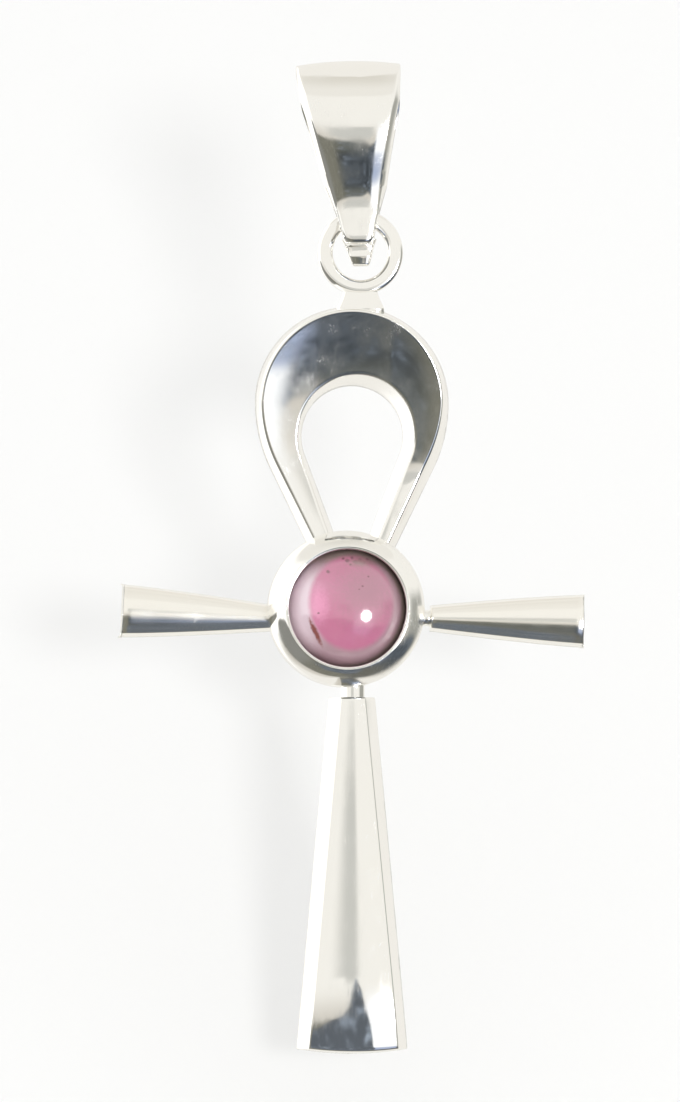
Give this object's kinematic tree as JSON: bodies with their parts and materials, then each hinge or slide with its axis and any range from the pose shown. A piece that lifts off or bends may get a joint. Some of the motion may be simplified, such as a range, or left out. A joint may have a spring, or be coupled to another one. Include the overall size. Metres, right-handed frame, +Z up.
{
  "type": "ankh pendant with a cabochon and a strap bail",
  "caption": "Looped cross pendant: a polished casting with flared arms, a cupped round cabochon and a ring that swings in a folded strap bail.",
  "frame": {"origin": "inside of the bail's top, where the chain passes through", "axes": "+X to the wearer's left, along the chain; +Z up along the pendant; the front faces -Y"},
  "size_m": [0.019, 0.0056, 0.0406],
  "materials": {
    "silver": "mirror polished sterling silver with fine wear",
    "garnet": "polished purple-pink garnet with small inclusions"
  },
  "bodies": {
    "bail": {"bail": "silver"},
    "drop": {"ankh": "silver", "cabochon": "garnet"}
  },
  "joints": [
    {"name": "drop_swing", "type": "hinge", "parent": "bail", "child": "drop", "pos_m": [0.0003, 0, -0.00585], "axis": [1, 0, 0], "range_deg": [-90, 90]}
  ]
}
